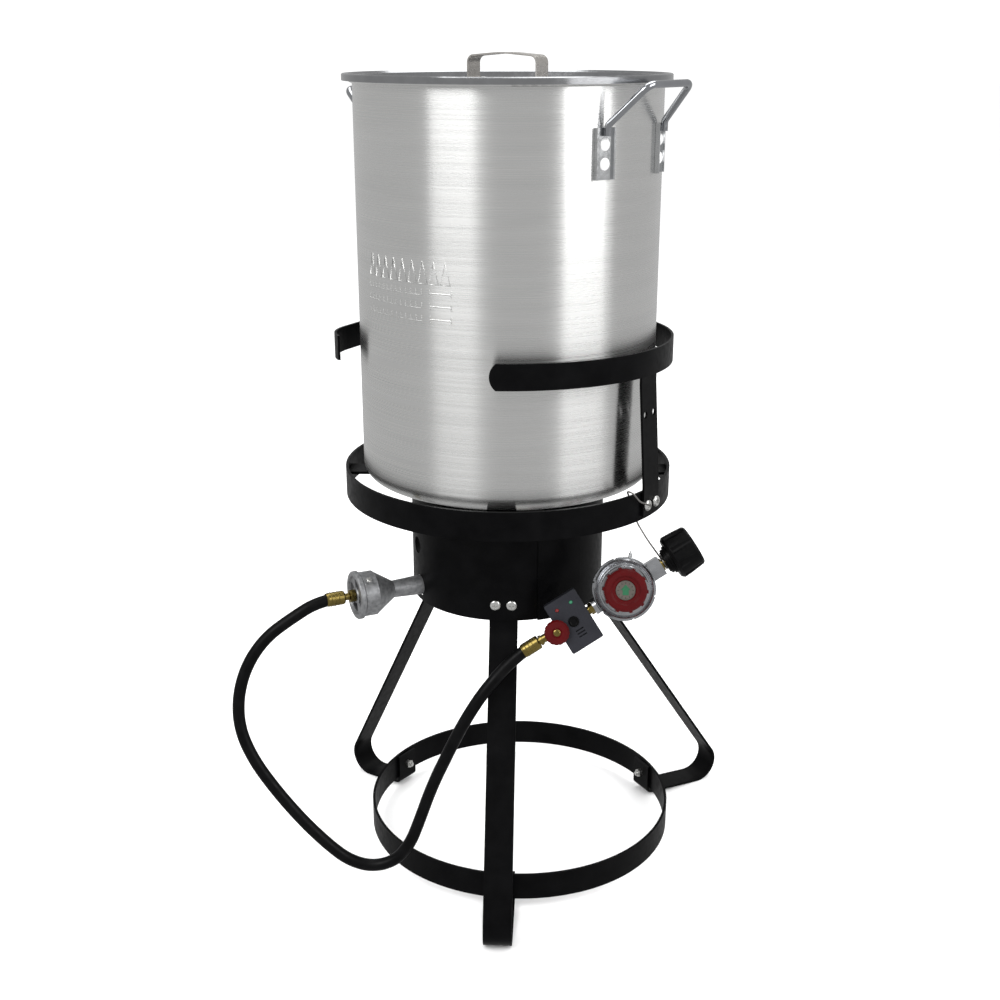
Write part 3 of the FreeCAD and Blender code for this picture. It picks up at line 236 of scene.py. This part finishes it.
def paint_nodes():
    """Every CAD node gets the finish of its slot, or its own."""
    for part in frame["record"]["subparts"]:
        node = frame["nodes"][part["node"]]
        finish = BY_NODE.get(part["node"], BY_SLOT[part["material_slot"]])
        for entry in node.material_slots:
            entry.material = finish


# ---------------------------------------------------------------- pieces
def in_scene(name, data):
    made = bpy.data.objects.new(name, data)
    bpy.context.scene.collection.objects.link(made)
    return made


def add_piece(name, data, body, material):
    made = in_scene(name, data)
    data.materials.append(material)
    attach(made, body)
    return made


def new_curve(name, radius, rings=3):
    """Round bar along whatever splines it is given."""
    curve = bpy.data.curves.new(name, "CURVE")
    curve.dimensions = "3D"
    curve.bevel_depth = radius
    curve.bevel_resolution = rings
    curve.use_fill_caps = True
    return curve


def add_spline(curve, places, kind="POLY", closed=False):
    spline = curve.splines.new(kind)
    spline.points.add(len(places) - 1)
    for point, place in zip(spline.points, places):
        point.co = (*place, 1.0)
    spline.use_cyclic_u = closed
    return spline


# Centre line of the hose in millimetres, from the mixer to the valve.
HOSE_ROUTE = [
    (-181.3, -84.5, 334.5), (-200.3, -93.4, 334.5), (-228, -103, 319), (-255, -109, 300),
    (-275, -116, 272), (-285, -124, 239), (-284, -132, 205), (-270, -139, 172),
    (-247, -145, 139), (-220, -149, 105), (-193, -151, 76), (-171, -152, 57),
    (-146, -153, 49.5), (-121, -153, 56.5), (-104.5, -153, 77), (-94, -153, 105),
    (-80, -153, 147), (-62, -153, 188), (-44, -152.5, 226), (-22, -149, 261),
    (8.66, -134.26, 290.99), (26.41, -130.79, 301.66),
]
HOSE_RADIUS = 6.5 * MM


def gas_hose():
    """The hose, free between its two sleeves."""
    curve = new_curve("gas_hose", HOSE_RADIUS, rings=8)
    curve.resolution_u = 16
    spline = add_spline(curve, [[MM * value for value in corner] for corner in HOSE_ROUTE], "NURBS")
    spline.order_u = 3
    spline.use_endpoint_u = True
    hose = add_piece("gas_hose", curve, "stand", BY_SLOT["hose_rubber"])
    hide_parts("hose")


POT_RADIUS = 155.6 * MM
# Relief on the pot: azimuths in degrees from +X, heights in millimetres from the floor.
MARK_RADIUS = 0.55 * MM
MARKS_START = 209.0
PEAKS = 9
PEAKS_END = 250.0
PEAK_GAP = 0.4              # degrees left free on either side of a peak
PEAK_FOOT, PEAK_TIP = 678, 699
SCALE_HEIGHTS = (667.0, 654.5, 642.0)
SCALE_STEPS = 12
SCALE_END = 238.0
SCALE_TICK = 5.5
DASH_START, DASH_STEP, DASH_STEPS = 241.5, 1.4, 6
DASH_RISE, DASH_DROP = 2.5, 0.5


def on_pot(azimuth, height):
    """Point of the pot's wall, from degrees and millimetres."""
    angle = math.radians(azimuth)
    return Vector((POT_RADIUS * math.cos(angle), POT_RADIUS * math.sin(angle), height * MM))


def level_marks():
    """Relief on the pot: a row of plain peaks, and three level scales under it."""
    curve = new_curve("level_marks", MARK_RADIUS)

    def stroke(corners, closed=False):
        add_spline(curve, [on_pot(*corner) for corner in corners], closed=closed)

    pitch = (PEAKS_END - MARKS_START) / PEAKS
    for k in range(PEAKS):
        left = MARKS_START + pitch * k
        stroke([(left + PEAK_GAP, PEAK_FOOT), (left + pitch / 2, PEAK_TIP),
                (left + pitch - PEAK_GAP, PEAK_FOOT)], closed=True)
    scale_pitch = (SCALE_END - MARKS_START) / SCALE_STEPS
    scale = [MARKS_START + scale_pitch * k for k in range(SCALE_STEPS + 1)]
    dash = [DASH_START + DASH_STEP * k for k in range(DASH_STEPS + 1)]
    for height in SCALE_HEIGHTS:
        stroke([(azimuth, height) for azimuth in scale])
        for azimuth in scale:
            stroke([(azimuth, height), (azimuth, height + SCALE_TICK)])
        stroke([(azimuth, height + DASH_RISE) for azimuth in dash])
        for azimuth in (dash[0], dash[-1]):
            stroke([(azimuth, height - DASH_DROP), (azimuth, height + SCALE_TICK)])
    add_piece("level_marks", curve, "pot", POT)


def facing_matrix(centre, outward):
    """Frame whose Z is outward and whose X lies level."""
    z_axis = Vector(outward).normalized()
    x_axis = Vector((0, 0, 1)).cross(z_axis).normalized()
    y_axis = z_axis.cross(x_axis)
    turn = Matrix((x_axis, y_axis, z_axis)).transposed().to_4x4()
    return Matrix.Translation(centre) @ turn


def around(home, radius, angle, height):
    """Point at an angle about the Z axis of home."""
    return home @ Vector((radius * math.cos(angle), radius * math.sin(angle), height))


DIAL_FACE = 18.5 * MM       # the sunk dial, outwards from the regulator knob's joint
POINTER = [(-3.2, -5.0), (3.2, -5.0), (3.2, 0.5), (5.2, 0.5), (0.0, 6.2), (-5.2, 0.5), (-3.2, 0.5)]
POINTER_SUNK, POINTER_RAISED = 0.3 * MM, 0.15 * MM
POINTER_TAPER = 0.94        # size of the raised face against the sunk one
TICKS = 12
TICK_ENDS = (6.9 * MM, 8.3 * MM)
TICK_RADIUS, TICK_SUNK = 0.22 * MM, 0.1 * MM


def dial_pointer(home):
    """Green arrow, standing a little proud of the dial."""
    green = moulded("dial_green", (0.015, 0.10, 0.045), 0.35, 0.5, specular=0.3)
    levels = ((1.0, DIAL_FACE - POINTER_SUNK), (POINTER_TAPER, DIAL_FACE + POINTER_RAISED))
    corners = [home @ Vector((x * MM * size, y * MM * size, height))
               for size, height in levels for x, y in POINTER]
    count = len(POINTER)
    caps = [tuple(range(count))[::-1], tuple(range(count, 2 * count))]
    sides = [(k, (k + 1) % count, count + (k + 1) % count, count + k) for k in range(count)]
    mesh = bpy.data.meshes.new("dial_pointer")
    mesh.from_pydata(corners, [], caps + sides)
    add_piece("dial_pointer", mesh, "regulator_knob", green)


def dial_ticks(home):
    """Ring of short ticks round the pointer."""
    curve = new_curve("dial_ticks", TICK_RADIUS, rings=1)
    for k in range(TICKS):
        angle = math.tau * k / TICKS
        add_spline(curve, [around(home, reach, angle, DIAL_FACE - TICK_SUNK) for reach in TICK_ENDS])
    add_piece("dial_ticks", curve, "regulator_knob", BY_SLOT["black_plastic"])


CRIMP_RADIUS = 7.4 * MM
CRIMP_BAR = 0.45 * MM
RING_STEPS = 48
MIXER_AXIS_HEIGHT = 334.5 * MM
# Each sleeve's crimps lie this many millimetres outwards along its line.
BURNER_CRIMPS = (199, 203, 207)
VALVE_CRIMPS = (110.5, 114.5, 118.5)


def ferrule_crimps(name, home, stops):
    """Rings pressed into one brass sleeve of the hose, along the Z axis of home."""
    curve = new_curve("crimps_" + name, CRIMP_BAR, rings=2)
    for stop in stops:
        ring = [around(home, CRIMP_RADIUS, math.tau * k / RING_STEPS, stop * MM)
                for k in range(RING_STEPS)]
        add_spline(curve, ring, closed=True)
    add_piece("crimps_" + name, curve, "stand", BY_SLOT["brass"])


# ---------------------------------------------------------------- studio and camera
BACKDROP = 1.15             # brightness of the world for all but reflections
ROOM = 0.5                  # even grey of the room that the metal reflects


def surroundings():
    """Plain studio: an even grey room in reflections, and a white backdrop elsewhere."""
    world = bpy.data.worlds.new("studio")
    bpy.context.scene.world = world
    world.use_nodes = True
    nodes, links = world.node_tree.nodes, world.node_tree.links
    ray = nodes.new("ShaderNodeLightPath")
    pick = nodes.new("ShaderNodeMix")
    pick.inputs["A"].default_value = BACKDROP
    pick.inputs["B"].default_value = ROOM
    links.new(ray.outputs["Is Glossy Ray"], pick.inputs["Factor"])
    links.new(pick.outputs["Result"], nodes["Background"].inputs["Color"])


LIT_POINT = Vector((0, 0, 0.45))    # the middle of the object, where the lamps point


def soft_light(name, place, size, power):
    """Large square lamp aimed at the middle of the object."""
    lamp = bpy.data.lights.new(name, "AREA")
    lamp.size = size
    lamp.energy = power
    holder = in_scene(name, lamp)
    holder.location = place
    holder.rotation_euler = (LIT_POINT - Vector(place)).to_track_quat("-Z", "Y").to_euler()


def floor():
    """Plain pale sheet, wide enough to reach past the picture on every side."""
    half = 30.0
    corners = [(-half, -half, 0), (half, -half, 0), (half, half, 0), (-half, half, 0)]
    mesh = bpy.data.meshes.new("floor")
    mesh.from_pydata(corners, [], [(0, 1, 2, 3)])
    sheet = in_scene("floor", mesh)
    finish = Finish("floor_white", (0.93, 0.93, 0.93), 0.0, 0.7, Specular_IOR_Level=0.1)
    finish.colour(finish.noise(even(4.0)), (0.925, 0.925, 0.925), (0.935, 0.935, 0.935))
    mesh.materials.append(finish.material)
    sheet.visible_glossy = False


def camera():
    """Camera in front of the pot's rim, looking slightly down."""
    optics = bpy.data.cameras.new("camera")
    optics.lens = 48.9
    optics.sensor_width = 36.0
    optics.clip_end = 200.0
    holder = in_scene("camera", optics)
    holder.location = (0, -1.4178, 0.8966)
    holder.rotation_euler = (math.radians(71.30), 0, math.radians(0.336))
    bpy.context.scene.camera = holder


paint_nodes()
gas_hose()
level_marks()
regulator, nut = JOINTS["regulator_turn"], JOINTS["cylinder_nut_spin"]
dial = facing_matrix(regulator["pos_m"], regulator["axis"])
dial_pointer(dial)
dial_ticks(dial)
mixer_line = facing_matrix((0, 0, MIXER_AXIS_HEIGHT), JOINTS["air_shutter_turn"]["axis"])
control_line = facing_matrix(nut["pos_m"], -Vector(nut["axis"]))
ferrule_crimps("burner", mixer_line, BURNER_CRIMPS)
ferrule_crimps("valve", control_line, VALVE_CRIMPS)
surroundings()
soft_light("key_light", (-1.6, -1.8, 2.4), size=1.8, power=60)
soft_light("fill_light", (2.0, -1.2, 1.6), size=1.8, power=35)
soft_light("top_light", (0.2, 0.8, 3.0), size=2.2, power=50)
floor()
camera()
bpy.context.scene.view_settings.view_transform = "Standard"
